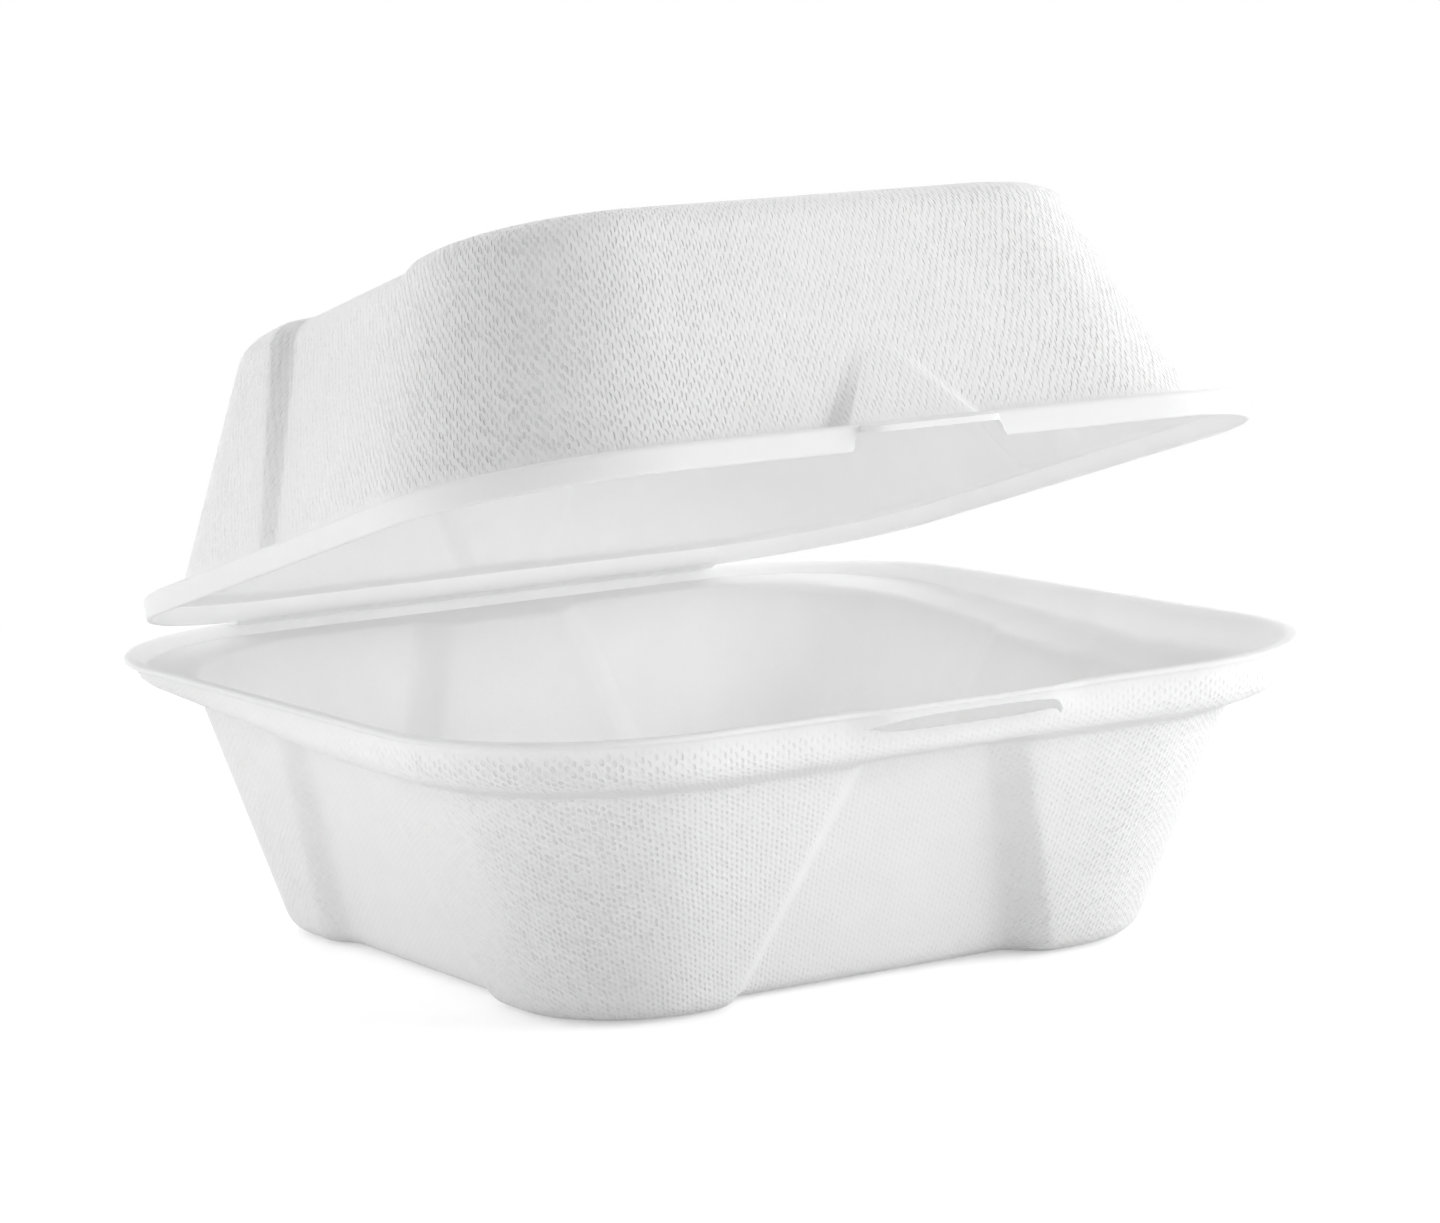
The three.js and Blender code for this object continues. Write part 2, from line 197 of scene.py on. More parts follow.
def ring(half_width, inset, radius, panels):
    """Points of one ring, anticlockwise. inset and panels hold a value for each side."""
    reach = {side: half_width - inset[side] for side in SIDES}
    corners = {
        "front": (reach["right"] - radius, -(reach["front"] - radius)),
        "right": (reach["right"] - radius, reach["back"] - radius),
        "back": (-(reach["left"] - radius), reach["back"] - radius),
        "left": (-(reach["left"] - radius), -(reach["front"] - radius)),
    }
    points = []
    for i, side in enumerate(SIDES):
        quarter = i * math.pi / 2
        along = np.array([math.cos(quarter), math.sin(quarter)])
        inward = np.array([-along[1], along[0]])
        before = np.array(corners[SIDES[i - 1]])
        after = np.array(corners[side])
        first, last = before @ along, after @ along
        half, facet, depth = panels[side]
        flat = max(half - facet, half * LEAST_FLAT)
        s = stations((last - first) / 2, half, flat)
        pressed = depth * (1 - facet_ramp((np.abs(s) - flat) / (half - flat)))
        wall = after @ inward - radius + pressed
        points.append(np.outer((first + last) / 2 + s, along) + np.outer(wall, inward))
        turn = quarter - math.pi / 2 + np.arange(1, CORNER_POINTS) / CORNER_POINTS * math.pi / 2
        points.append(after + radius * np.stack([np.cos(turn), np.sin(turn)], axis=1))
    joined = np.concatenate(points)
    return np.roll(joined, -BACK_MIDDLE, axis=0)


def side_values(value):
    return {side: value(side) for side in SIDES}


# %% [markdown]
# Rings become a shell by joining each to the next. The first and last ring are closed by smaller copies of
# themselves, which make the floor or the top. Each corner of a face also gets a place on a flat map: the
# share of the way round the wall, and the height along it in millimetres. The wire pattern is laid out on
# that map. It starts and ends at the middle of the back, and closes there because a whole number of marks
# goes round. The flat top and bottom take their places straight from X and Y, so that the pattern doesn't
# crowd at their middle.

# %% A shell from rings
FLOOR_RINGS = 9
SCREEN_LENGTH_MM = 456


def shrunk(points):
    middle = points.mean(axis=0)
    return [lerp(points, middle, k / FLOOR_RINGS) for k in range(1, FLOOR_RINGS)]


def way_round(points):
    """How far round each point is, from 0 to 1, starting and ending at the middle of the back."""
    steps = np.linalg.norm(np.roll(points, -1, axis=0)[:, :2] - points[:, :2], axis=1)
    return np.concatenate([[0], np.cumsum(steps)]) / steps.sum()


def shell_mesh(name, rings, marks, place):
    """One closed mesh from rings that start at the middle of the upper face.

    marks says how deep the wire shows on each ring.
    """
    before, behind = shrunk(rings[0])[::-1], shrunk(rings[-1])
    layers = before + list(rings) + behind
    depth = [marks[0]] * len(before) + list(marks) + [marks[-1]] * len(behind)
    count = len(rings[0])
    points = np.concatenate(layers)
    first = points[:count].mean(axis=0)
    last = points[-count:].mean(axis=0)
    faces = [(j * count + i, (j + 1) * count + i,
              (j + 1) * count + (i + 1) % count, j * count + (i + 1) % count)
             for j in range(len(layers) - 1) for i in range(count)]
    tips = [len(points), len(points) + 1]
    faces += [(tips[0], i, (i + 1) % count) for i in range(count)]
    end = (len(layers) - 1) * count
    faces += [(tips[1], end + (i + 1) % count, end + i) for i in range(count)]
    points = np.concatenate([points, [first, last]])
    around = [way_round(layer) for layer in layers]
    walls = range(len(before), len(layers) - len(behind) - 1)
    rise = [0.0]
    for a, b in zip(layers, layers[1:]):
        rise.append(rise[-1] + float(np.linalg.norm(b - a, axis=1).mean()))
    mesh = bpy.data.meshes.new(name)
    mesh.from_pydata([tuple(p) for p in place(points) * MM], [], faces)
    pattern = mesh.uv_layers.new(name="wire_map")
    uv = np.zeros((len(mesh.loops), 2))
    at = 0
    for j in range(len(layers) - 1):
        for i in range(count):
            if j in walls:
                uv[at:at + 4] = ((around[j][i], rise[j]), (around[j + 1][i], rise[j + 1]),
                                 (around[j + 1][i + 1], rise[j + 1]), (around[j][i + 1], rise[j]))
            at += 4
    for face in mesh.polygons:
        if face.index // count in walls and face.index < (len(layers) - 1) * count:
            continue
        for loop in face.loop_indices:
            x, y = points[mesh.loops[loop].vertex_index][:2]
            uv[loop] = x / SCREEN_LENGTH_MM, y
    pattern.data.foreach_set("uv", uv.ravel())
    mark = mesh.attributes.new("wire_mark", "FLOAT", "POINT")
    values = np.concatenate([np.repeat(d, count) if np.ndim(d) == 0 else d for d in depth] + [[0, 0]])
    mark.data.foreach_set("value", values.astype(np.float32))
    mesh.update()
    return mesh


def piece_from(mesh):
    piece = bpy.data.objects.new(mesh.name, mesh)
    bpy.context.scene.collection.objects.link(piece)
    return piece


# %% [markdown]
# The tray has a thin lip, and under it an upright shoulder that the lid's skirt drops into. A narrow ledge
# leads from the shoulder to the tapering wall. Along the back the shoulder grows shallow, because the
# crease needs the sheet to run straight from one half into the other.

# %% The tray's sizes
TRAY_HALF, TRAY_HEIGHT, RIM_RADIUS = 75.25, 44.8, 34.5
LIP_WIDTH, BACK_LIP_WIDTH, LIP_CURL, LIP_ROUND = 2.0, 0.4, 0.2, 0.7
SHOULDER_DROP, SHOULDER_BACK_DROP, SHOULDER_RISE_FROM_Y = 9.5, 3.3, -20
SHOULDER_LEAN, SHOULDER_ROUND_UP, SHOULDER_ROUND = 0.55, 2.5, 3.0
LEDGE_START_INSET, LEDGE_FALL, LEDGE_INSET, LEDGE_RADIUS, LEDGE_ROUND = 4.6, 2.2, 9.3, 28.4, 1.6
TRAY_WALL_FOOT, TRAY_BOTTOM_INSET, TRAY_BOTTOM_RADIUS, TRAY_FLOOR_LAP = 23.1, 25.4, 17, 1.5
TRAY_FILLET, TRAY_BACK_WALL_SHIFT = 4.2, 3
TRAY_PANEL_TOP, TRAY_PANEL_BOTTOM, TRAY_PANEL_FACET = 16, 29, 6.5
TRAY_PANEL_DEPTH, TRAY_PANEL_FOOT_DEPTH, TRAY_SIDE_PANEL_SHARE = 4, 5.2, 0.5
SLOT_HALF, SLOT_HEIGHT, SLOT_DEPTH_FROM_RIM = 16.5, 1.8, 3
BAR_HALF, BAR_EASE, BAR_BULGE, BAR_LIP_SHARE = 21, 9, 2.42, 0.5
TRAY_LONGEST_STEP = 2.4
# The wire marks start this far below the lip, and are full strength at the second distance.
TRAY_MARKS_FROM, TRAY_MARKS_FULL = 0.4, 1.4

SHOULDER_Z = TRAY_HEIGHT - SHOULDER_DROP
LEDGE_START_Z = SHOULDER_Z + LEDGE_FALL
SLOT_Z = TRAY_HEIGHT - SLOT_DEPTH_FROM_RIM
LIP_Z = TRAY_HEIGHT - SHEET - LIP_CURL

# %% The tray's shell


def tray_side_shift(side, inset):
    down = share(inset, LEDGE_INSET, TRAY_BOTTOM_INSET)
    at_ledge = {"front": -1, "right": 1, "back": 0, "left": 1}[side]
    ledge = share(inset, LIP_WIDTH, LEDGE_INSET) * (1 - down) * at_ledge
    return ledge - down * TRAY_BACK_WALL_SHIFT if side == "back" else ledge


def tray_panel(side, inset, z):
    """Above the ledge the front bulges out as a bar. From the ledge down every wall has its panel."""
    if z > LEDGE_START_Z:
        up = float(share(z, LEDGE_START_Z, SLOT_Z - SLOT_HEIGHT))
        t = float(share(z, SLOT_Z - SLOT_HEIGHT, SLOT_Z + SLOT_HEIGHT / 2))
        bar = t * t * (3 - 2 * t) if side == "front" else 0
        out = bar * lerp(BAR_LIP_SHARE, 1, share(inset, 0, LIP_WIDTH))
        return lerp(TRAY_PANEL_TOP, BAR_HALF, up), lerp(TRAY_PANEL_FACET, BAR_EASE, up), -BAR_BULGE * out
    down = float(share(z, SHOULDER_Z, 0))
    deepest = lerp(TRAY_PANEL_DEPTH, TRAY_PANEL_FOOT_DEPTH, down)
    if side in ("left", "right"):
        deepest *= TRAY_SIDE_PANEL_SHARE
    depth = deepest * share(inset, LEDGE_START_INSET, LEDGE_INSET)
    return lerp(TRAY_PANEL_TOP, TRAY_PANEL_BOTTOM, down), TRAY_PANEL_FACET, depth


def tray_raise(y, z):
    at_back = share(y, SHOULDER_RISE_FROM_Y, TRAY_HALF - LEDGE_INSET)
    drop = lerp(SHOULDER_DROP, SHOULDER_BACK_DROP, at_back)
    if z >= LIP_Z:
        return np.full_like(y, z)
    if z >= SHOULDER_Z:
        return lerp(LIP_Z, TRAY_HEIGHT - drop, share(z, LIP_Z, SHOULDER_Z))
    return z * (TRAY_HEIGHT - drop) / SHOULDER_Z


def tray_ring(point, face):
    inset, z = point
    face_inset, face_z = face
    if inset < LEDGE_INSET:
        radius = lerp(RIM_RADIUS, LEDGE_RADIUS, share(inset, 0, LEDGE_INSET))
    else:
        radius = lerp(LEDGE_RADIUS, TRAY_BOTTOM_RADIUS, share(inset, LEDGE_INSET, TRAY_BOTTOM_INSET))
    back_lip = max(LIP_WIDTH - BACK_LIP_WIDTH - face_inset, 0)
    insets = side_values(lambda side: face_inset + tray_side_shift(side, inset)
                         + (back_lip if side == "back" else 0))
    panels = side_values(lambda side: tray_panel(side, inset, z))
    flat = ring(TRAY_HALF, insets, radius - (face_inset - inset), panels)
    height = face_z - z + tray_raise(flat[:, 1], z)
    return np.column_stack([flat, height])


def tray_mesh():
    outside = soft_path([
        (SHEET / 2, TRAY_HEIGHT - SHEET, 0),
        (LIP_WIDTH, TRAY_HEIGHT - SHEET, LIP_ROUND),
        (LIP_WIDTH + SHOULDER_LEAN, SHOULDER_Z + SHOULDER_ROUND_UP, SHOULDER_ROUND),
        (LEDGE_INSET, SHOULDER_Z, LEDGE_ROUND),
        (TRAY_WALL_FOOT, 0, TRAY_FILLET),
        (TRAY_BOTTOM_INSET + TRAY_FLOOR_LAP, 0, 0),
    ], TRAY_LONGEST_STEP)
    inside = other_face(outside, 1)
    edge = round_edge((SHEET / 2, TRAY_HEIGHT - SHEET / 2), 90, 270)
    rings, marks = [], []
    for point, face in zip(outside[::-1], inside[::-1]):
        rings.append(tray_ring(point, face))
        marks.append(0.0)
    for point in edge:
        rings.append(tray_ring((0, TRAY_HEIGHT - SHEET), point))
        marks.append(0.0)
    for point in outside:
        rings.append(tray_ring(point, point))
        marks.append(float(share(point[1], LIP_Z - TRAY_MARKS_FROM, LIP_Z - TRAY_MARKS_FULL)))
    return shell_mesh("tray_shell", rings, marks, lambda points: points)


tray = piece_from(tray_mesh())
print("tray shell", len(tray.data.polygons), "faces")

# %% [markdown]
# The lid is drawn lying flat, with its flange at height nought, and then swung up about the crease to the
# angle of the photograph. Its dome leans in from the flange, with panels in three of its sides that widen
# towards the top. The front has only a small raised gusset, which gives the tongue below it a stiff root.

# %% The lid's sizes
LID_HALF, LID_DEPTH_TRIM, LID_RADIUS, SKIRT_DROP = 71.1, 0.5, 30.5, 3.9
FLANGE = {"front": 6, "right": 2.7, "back": 8.6, "left": 2.7}
FLANGE_SIDE = FLANGE["left"]
FLANGE_START, FLANGE_ROUND, FOOT_ROUND = 1.4, 1.0, 0.5
FOOT_RADIUS, DOME_HEIGHT, DOME_TOP_INSET, DOME_TOP_RADIUS = 32, 36.8, 22.4, 20
DOME_WALL_TOP, DOME_FILLET, DOME_TOP_LAP = 18.6, 7, 1
LID_LONGEST_STEP = 2.2
# The wire marks start this far above the flange, and are full strength at the second height.
LID_MARKS_FROM, LID_MARKS_FULL = 0.2, 1.2
LID_PANEL_FOOT, LID_PANEL_TOP, LID_PANEL_FACET = 9.5, 25, 4
LID_PANEL_FOOT_DEPTH, LID_PANEL_TOP_DEPTH = 1.4, 3.2
GUSSET_FOOT, GUSSET_TOP, GUSSET_FACET, GUSSET_HEIGHT, GUSSET_RISE = 14, 4.5, 3.5, 12, 2.4
TONGUE_HALF, TONGUE_REACH, TONGUE_DROP, TONGUE_CORNER = 11.2, 3, 1, 2.4
TONGUE_ROOT, TONGUE_SINK = 2, 0.02
NOTCH_GAP, NOTCH_CORNER, NOTCH_FLARE, NOTCH_CUT_PAST = 1.3, 2.2, 1.2, 1

HINGE_FROM_RIM_EDGE, HINGE_ABOVE_RIM = 2.65, 0.4
HINGE_Y, HINGE_Z = TRAY_HALF - HINGE_FROM_RIM_EDGE, TRAY_HEIGHT + HINGE_ABOVE_RIM
LID_BACK_GAP, LID_RISE, OPEN_ANGLE = 2.82, 3.31, math.radians(14.1)
LID_HALF_DEEP = LID_HALF - LID_DEPTH_TRIM
LID_REACH = LID_BACK_GAP + LID_HALF_DEEP


def swing(points):
    """Carries points of the flat lid to their place on the half-open box."""
    c, s = math.cos(OPEN_ANGLE), math.sin(OPEN_ANGLE)
    y, z = points[:, 1] - LID_REACH, points[:, 2] + LID_RISE
    return np.column_stack([points[:, 0], HINGE_Y + c * y + s * z, HINGE_Z - s * y + c * z])


# %% The lid's shell


def lid_panel(side, z):
    if side == "front":
        up = float(share(z, 0, GUSSET_HEIGHT))
        return lerp(GUSSET_FOOT, GUSSET_TOP, up), GUSSET_FACET, -GUSSET_RISE * (1 - up)
    up = float(share(z, 0, DOME_HEIGHT))
    depth = lerp(LID_PANEL_FOOT_DEPTH, LID_PANEL_TOP_DEPTH, up)
    return lerp(LID_PANEL_FOOT, LID_PANEL_TOP, up), LID_PANEL_FACET, depth


def lid_ring(point, face):
    inset, z = point
    face_inset, face_z = face
    at_foot = float(share(inset, FLANGE_START, FLANGE_SIDE))
    fade = (1 - float(share(z, 0, DOME_HEIGHT))) * at_foot
    radius = lerp(LID_RADIUS, FOOT_RADIUS, at_foot)
    if inset > FLANGE_SIDE:
        radius = lerp(FOOT_RADIUS, DOME_TOP_RADIUS, share(inset, FLANGE_SIDE, DOME_TOP_INSET))
    insets = side_values(lambda side: face_inset + fade * (FLANGE[side] - FLANGE_SIDE)
                         + (LID_DEPTH_TRIM if side in ("front", "back") else 0))
    panels = {}
    for side in SIDES:
        half, facet, depth = lid_panel(side, z)
        panels[side] = (half, facet, depth * at_foot)
    flat = ring(LID_HALF, insets, radius - (face_inset - inset), panels)
    return np.column_stack([flat, np.full(len(flat), face_z)])


def lid_mesh():
    outside = soft_path([
        (0, -SKIRT_DROP + SHEET / 2, 0),
        (0, 0, FLANGE_ROUND),
        (FLANGE_SIDE, 0, FOOT_ROUND),
        (DOME_WALL_TOP, DOME_HEIGHT, DOME_FILLET),
        (DOME_TOP_INSET + DOME_TOP_LAP, DOME_HEIGHT, 0),
    ], LID_LONGEST_STEP)
    inside = other_face(outside, -1)
    edge = round_edge((SHEET / 2, -SKIRT_DROP + SHEET / 2), 180, 360)
    rings, marks = [], []
    for point in outside[::-1]:
        rings.append(lid_ring(point, point))
        marks.append(float(share(point[1], LID_MARKS_FROM, LID_MARKS_FULL)))
    for point in edge:
        rings.append(lid_ring((0, -SKIRT_DROP + SHEET / 2), point))
        marks.append(0.0)
    for point, face in zip(outside, inside):
        rings.append(lid_ring(point, face))
        marks.append(0.0)
    return shell_mesh("lid_shell", rings, marks, swing)


lid = piece_from(lid_mesh())
print("lid shell", len(lid.data.polygons), "faces")

# %% [markdown]
# The latch is cut and added with Boolean modifiers: a slot with pointed ends through the tray's shoulder, a
# notch with round corners in the lid's skirt, and a tongue that carries the flange on past the notch. Each
# helper shape is a flat outline pushed through the sheet.

# %% Cutting and joining
def closed_mesh(name, points, faces):
    """A mesh in metres from points in millimetres, with its faces turned outwards."""
    mesh = bpy.data.meshes.new(name)
    mesh.from_pydata([tuple(p) for p in np.array(points, float) * MM], [], faces)
    work = bmesh.new()
    work.from_mesh(mesh)
    bmesh.ops.recalc_face_normals(work, faces=work.faces)
    work.to_mesh(mesh)
    work.free()
    return mesh


def prism(name, outline, low, high, upright, place):
    """A closed solid: an outline in two directions, pushed along the third.

    upright puts the outline in X and Z.
    """
    count = len(outline)
    points = []
    for end in (low, high):
        for a, b in outline:
            points.append((a, end, b) if upright else (a, b, end))
    faces = [tuple(range(count)), tuple(range(count, 2 * count))[::-1]]
    faces += [(i, i + count, (i + 1) % count + count, (i + 1) % count) for i in range(count)]
    return piece_from(closed_mesh(name, place(np.array(points, float)), faces))


def combine(piece, tool, operation):
    """Applies a Boolean modifier and deletes the helper shape."""
    modifier = piece.modifiers.new("combine", "BOOLEAN")
    modifier.object = tool
    modifier.operation = operation
    modifier.solver = "EXACT"
    bpy.context.view_layer.update()
    result = bpy.data.meshes.new_from_object(piece.evaluated_get(bpy.context.evaluated_depsgraph_get()))
    piece.modifiers.clear()
    result.name = piece.data.name
    piece.data = result
    bpy.data.objects.remove(tool)


# %% [markdown]
# The slot is punched through the shoulder. On the real box it is a thin crescent rather than a neat
# rectangle, so it is cut here from a drawn outline. It opens a little more above its middle line than
# below, which leaves the tongue room when the lid is shut. The hook at its right end is a guess at torn
# fibre.

# %% The slot in the tray
SLOT_HOOK, SLOT_HOOK_FROM = 1.3, 0.86
SLOT_UP_SHARE, SLOT_DOWN_SHARE, SLOT_RIGHT_NARROWING, SLOT_WIDEST = 0.7, 0.5, 0.6, 1.01
SLOT_COLUMNS, SLOT_CUT_OUT, SLOT_CUT_IN = 41, 4, 6


def slot_outline():
    """A thin crescent, pointed on the left, with a short hook down on the right."""
    across = np.linspace(-1, 1, SLOT_COLUMNS)
    middle = SLOT_Z - SLOT_HOOK * share(across, SLOT_HOOK_FROM, 1) ** 2
    open_share = SLOT_WIDEST - np.where(across < 0, 1, SLOT_RIGHT_NARROWING) * across ** 4
    above = list(zip(SLOT_HALF * across, middle + SLOT_HEIGHT * SLOT_UP_SHARE * open_share))
    below = list(zip(SLOT_HALF * across, middle - SLOT_HEIGHT * SLOT_DOWN_SHARE * open_share))
    return above[::-1] + below


slot = prism("slot", slot_outline(), -TRAY_HALF - SLOT_CUT_OUT, -TRAY_HALF + SLOT_CUT_IN, True, lambda p: p)
combine(tray, slot, "DIFFERENCE")
print("tray with slot", len(tray.data.polygons), "faces")

# %% [markdown]
# The tongue is the lid's flange carried on outwards and bent down a little, so that it can go in at the
# slot. The skirt below it has a notch, which leaves the tongue free. The notch is cut first and the tongue
# joined after it.

# %% The notch and the tongue on the lid
QUARTER_TURN = np.linspace(0, math.pi / 2, 7)
NOTCH_HALF_DEPTH = 2


def notch_outline():
    half, foot = TONGUE_HALF + NOTCH_GAP, -SKIRT_DROP - NOTCH_CUT_PAST
    right = [(half - NOTCH_CORNER * (1 - math.cos(t)), -SHEET - NOTCH_CORNER * (1 - math.sin(t)))
             for t in QUARTER_TURN]
    left = [(-x, z) for x, z in right[::-1]]
    return [(half + NOTCH_FLARE, foot), *right, *left, (-half - NOTCH_FLARE, foot)]


def tongue_outline():
    tip, root = -LID_HALF_DEEP - TONGUE_REACH, -LID_HALF_DEEP + TONGUE_ROOT
    right = [(TONGUE_HALF - TONGUE_CORNER * (1 - math.cos(t)), tip + TONGUE_CORNER * (1 - math.sin(t)))
             for t in QUARTER_TURN]
    return [(TONGUE_HALF, root), *right, *[(-x, y) for x, y in right[::-1]], (-TONGUE_HALF, root)]


def bent_tongue(points):
    out = share(-points[:, 1], LID_HALF_DEEP - TONGUE_ROOT, LID_HALF_DEEP + TONGUE_REACH)
    return swing(points - np.outer(TONGUE_DROP * out + TONGUE_SINK, [0, 0, 1]))


notch = prism("notch", notch_outline(), -LID_HALF_DEEP - NOTCH_HALF_DEPTH, -LID_HALF_DEEP + NOTCH_HALF_DEPTH,
              True, swing)
combine(lid, notch, "DIFFERENCE")
combine(lid, prism("tongue", tongue_outline(), -SHEET, 0, False, bent_tongue), "UNION")
print("lid with tongue", len(lid.data.polygons), "faces")

# %% [markdown]
# The two halves meet in a soft web of fibre along the back. It is a thin sheet from the tray's rim to the
# It is a thin sheet from the tray's rim to the lower edge of the lid's skirt, drawn for the lid's angle
# here.

# %% The crease
LEAF_HALF = 45
LEAF_SHEET = 0.75
CREASE_COLUMNS, CREASE_STEP, CREASE_ROUND, CREASE_BEND_HALF = 91, 0.25, 0.8, 0.8
# Where the web starts and turns: from the hinge line in Y, and from the tray's rim in Z.
CREASE_START, CREASE_FIRST_TURN, CREASE_SECOND_TURN = (0.6, -0.5), (0.1, 0.1), (-1.2, 0.2)
# Where it ends in the lid's skirt: in from the outer face, and up from the lower edge.
CREASE_END = (0.45, 0.5)


def crease_mesh():
    """A strip along the back whose section runs from inside the tray's rim to inside the lid's skirt."""
    skirt = swing(np.array([[0, LID_HALF_DEEP - CREASE_END[0], -SKIRT_DROP + CREASE_END[1]]]))[0]
    turns = [(HINGE_Y + y, TRAY_HEIGHT + z) for y, z in (CREASE_START, CREASE_FIRST_TURN, CREASE_SECOND_TURN)]
    section = soft_path([
        (*turns[0], 0),
        (*turns[1], CREASE_ROUND),
        (*turns[2], CREASE_ROUND),
        (skirt[1], skirt[2], 0),
    ], CREASE_STEP)
    along = np.gradient(section, axis=0)
    along /= np.linalg.norm(along, axis=1)[:, None]
    across = np.stack([-along[:, 1], along[:, 0]], axis=1) * LEAF_SHEET / 2
    loop = np.concatenate([section + across, (section - across)[::-1]])
    columns = np.linspace(-LEAF_HALF, LEAF_HALF, CREASE_COLUMNS)
    points = [(x, y, z) for x in columns for y, z in loop]
    size = len(loop)
    faces = [(k * size + i, (k + 1) * size + i, (k + 1) * size + (i + 1) % size, k * size + (i + 1) % size)
             for k in range(len(columns) - 1) for i in range(size)]
    faces += [tuple(range(size)), tuple(range(len(points) - size, len(points)))[::-1]]
    return closed_mesh("crease_web", points, faces)


crease = piece_from(crease_mesh())
print("crease web", len(crease.data.polygons), "faces")

# %% [markdown]
# The material is bleached sugar cane pulp, wet moulded and dried: chalk white, quite matt, with a faint
# clouding where the fibres lie thicker. The forming screen leaves rows of small dents on the outside only.
# They are drawn as bump, because even the deepest is only about a quarter of a millimetre deep, and painted
# shade darkens their insides a little.

# %% Material helpers
def linear(hex_colour):
    """An sRGB hex colour as linear red, green, blue and alpha."""
    parts = [int(hex_colour[i:i + 2], 16) / 255 for i in (1, 3, 5)]
    return tuple(c / 12.92 if c <= 0.04045 else ((c + 0.055) / 1.055) ** 2.4 for c in parts) + (1,)


def add_node(tree, kind, settings=None, **links):
    """Adds a node, sets its properties, and sets or links its inputs by name or number."""
    node = tree.nodes.new(kind)
    for name, value in (settings or {}).items():
        setattr(node, name, value)
    for name, value in links.items():
        by_number = name[0] == "_" and name[1:].isdigit()
        socket = node.inputs[int(name[1:]) if by_number else name.replace("_", " ")]
        if isinstance(value, bpy.types.NodeSocket):
            tree.links.new(value, socket)
        else:
            socket.default_value = value
    return node


def soft_step(tree, value, start, end, low=0.0, high=1.0):
    """A smooth change from one level to another as the value goes from start to end."""
    return add_node(tree, "ShaderNodeMapRange", {"interpolation_type": "SMOOTHSTEP"}, _0=value, _1=start,
                    _2=end, _3=low, _4=high).outputs[0]


# %% [markdown]
# The screen is woven wire, so its marks stand in columns, each column half a row higher than the last. They
# could be modelled, but there are many thousands of them and each is under a millimetre wide. Here each
# mark is an oval drawn on the flat map, and noise moves it a little, so that the pattern isn't quite even.

# %% The wire screen's marks
WANDER, WANDERS_PER_METRE = 0.7, 260.0
COLUMN_STEP = 0.5
JITTER = 0.3
LEAN_START = -math.pi * 0.76
LEAN_SPREAD, LEAST_DEPTH = 0.3, 0.4


def wire_marks(tree, around, pitch_across, pitch_up, half_width, half_length, lean, on_sides, on_corners):
    """Depth of the marks: columns of upright ovals laid like bricks, deepest at the corners."""
    def maths(operation, a, b=0.0, c=0.0):
        return add_node(tree, "ShaderNodeMath", {"operation": operation}, _0=a, _1=b, _2=c).outputs[0]

    map_place = add_node(tree, "ShaderNodeUVMap", {"uv_map": "wire_map"}).outputs[0]
    apart = add_node(tree, "ShaderNodeSeparateXYZ", _0=map_place)
    turns, height = apart.outputs[0], apart.outputs[1]
    place = add_node(tree, "ShaderNodeTexCoord").outputs["Object"]
    wander = add_node(tree, "ShaderNodeTexNoise", Vector=place, Scale=WANDERS_PER_METRE, Detail=1.0)
    sway = add_node(tree, "ShaderNodeSeparateXYZ", _0=wander.outputs["Color"])
    column = maths("ADD", maths("MULTIPLY", turns, float(around)),
                   maths("MULTIPLY", maths("SUBTRACT", sway.outputs[0], 0.5), WANDER))
    number = maths("FLOOR", column)
    row = maths("ADD", maths("DIVIDE", height, pitch_up), maths("MULTIPLY", number, COLUMN_STEP))
    row = maths("ADD", row, maths("MULTIPLY", maths("SUBTRACT", sway.outputs[1], 0.5), WANDER))
    cell = add_node(tree, "ShaderNodeCombineXYZ", _0=number, _1=maths("FLOOR", row)).outputs[0]
    chance = add_node(tree, "ShaderNodeTexWhiteNoise", {"noise_dimensions": "2D"}, Vector=cell)
    luck = add_node(tree, "ShaderNodeSeparateXYZ", _0=chance.outputs["Color"])
    x = maths("MULTIPLY", maths("SUBTRACT", maths("FRACT", column), 0.5), pitch_across)
    high = maths("MULTIPLY_ADD", maths("SUBTRACT", luck.outputs[2], 0.5), JITTER, -0.5)
    y = maths("MULTIPLY", maths("ADD", maths("FRACT", row), high), pitch_up)
    # The marks lean one way on the front and the other way on the sides, as cloth pulled over corners does.
    pulled = maths("SINE", maths("MULTIPLY_ADD", turns, 4 * math.pi, LEAN_START))
    chance_lean = maths("MULTIPLY", maths("SUBTRACT", luck.outputs[0], 0.5), LEAN_SPREAD)
    slope = maths("MULTIPLY_ADD", pulled, lean, chance_lean)
    wide = maths("DIVIDE", maths("SUBTRACT", x, maths("MULTIPLY", y, slope)), half_width)
    tall = maths("DIVIDE", y, half_length)
    away = maths("ADD", maths("MULTIPLY", wide, wide), maths("MULTIPLY", tall, tall))
    oval = soft_step(tree, away, 1.0, 0.0)
    # The marks show most at the corners.
    corner = maths("MULTIPLY_ADD", maths("COSINE", maths("MULTIPLY", turns, 8 * math.pi)), -0.5, 0.5)
    press = maths("MULTIPLY_ADD", corner, on_corners - on_sides, on_sides)
    depth = maths("MULTIPLY_ADD", luck.outputs[1], 1 - LEAST_DEPTH, LEAST_DEPTH)
    return maths("MULTIPLY", maths("MULTIPLY", oval, press), depth)


# %% The pulp
PULP_WHITE = "#F8F8F8"
PULP_SHADE = "#F3F3F3"
PULP_ROUGHNESS, PULP_SHINE = 0.93, 0.2
PULP_GLOW = 0.42
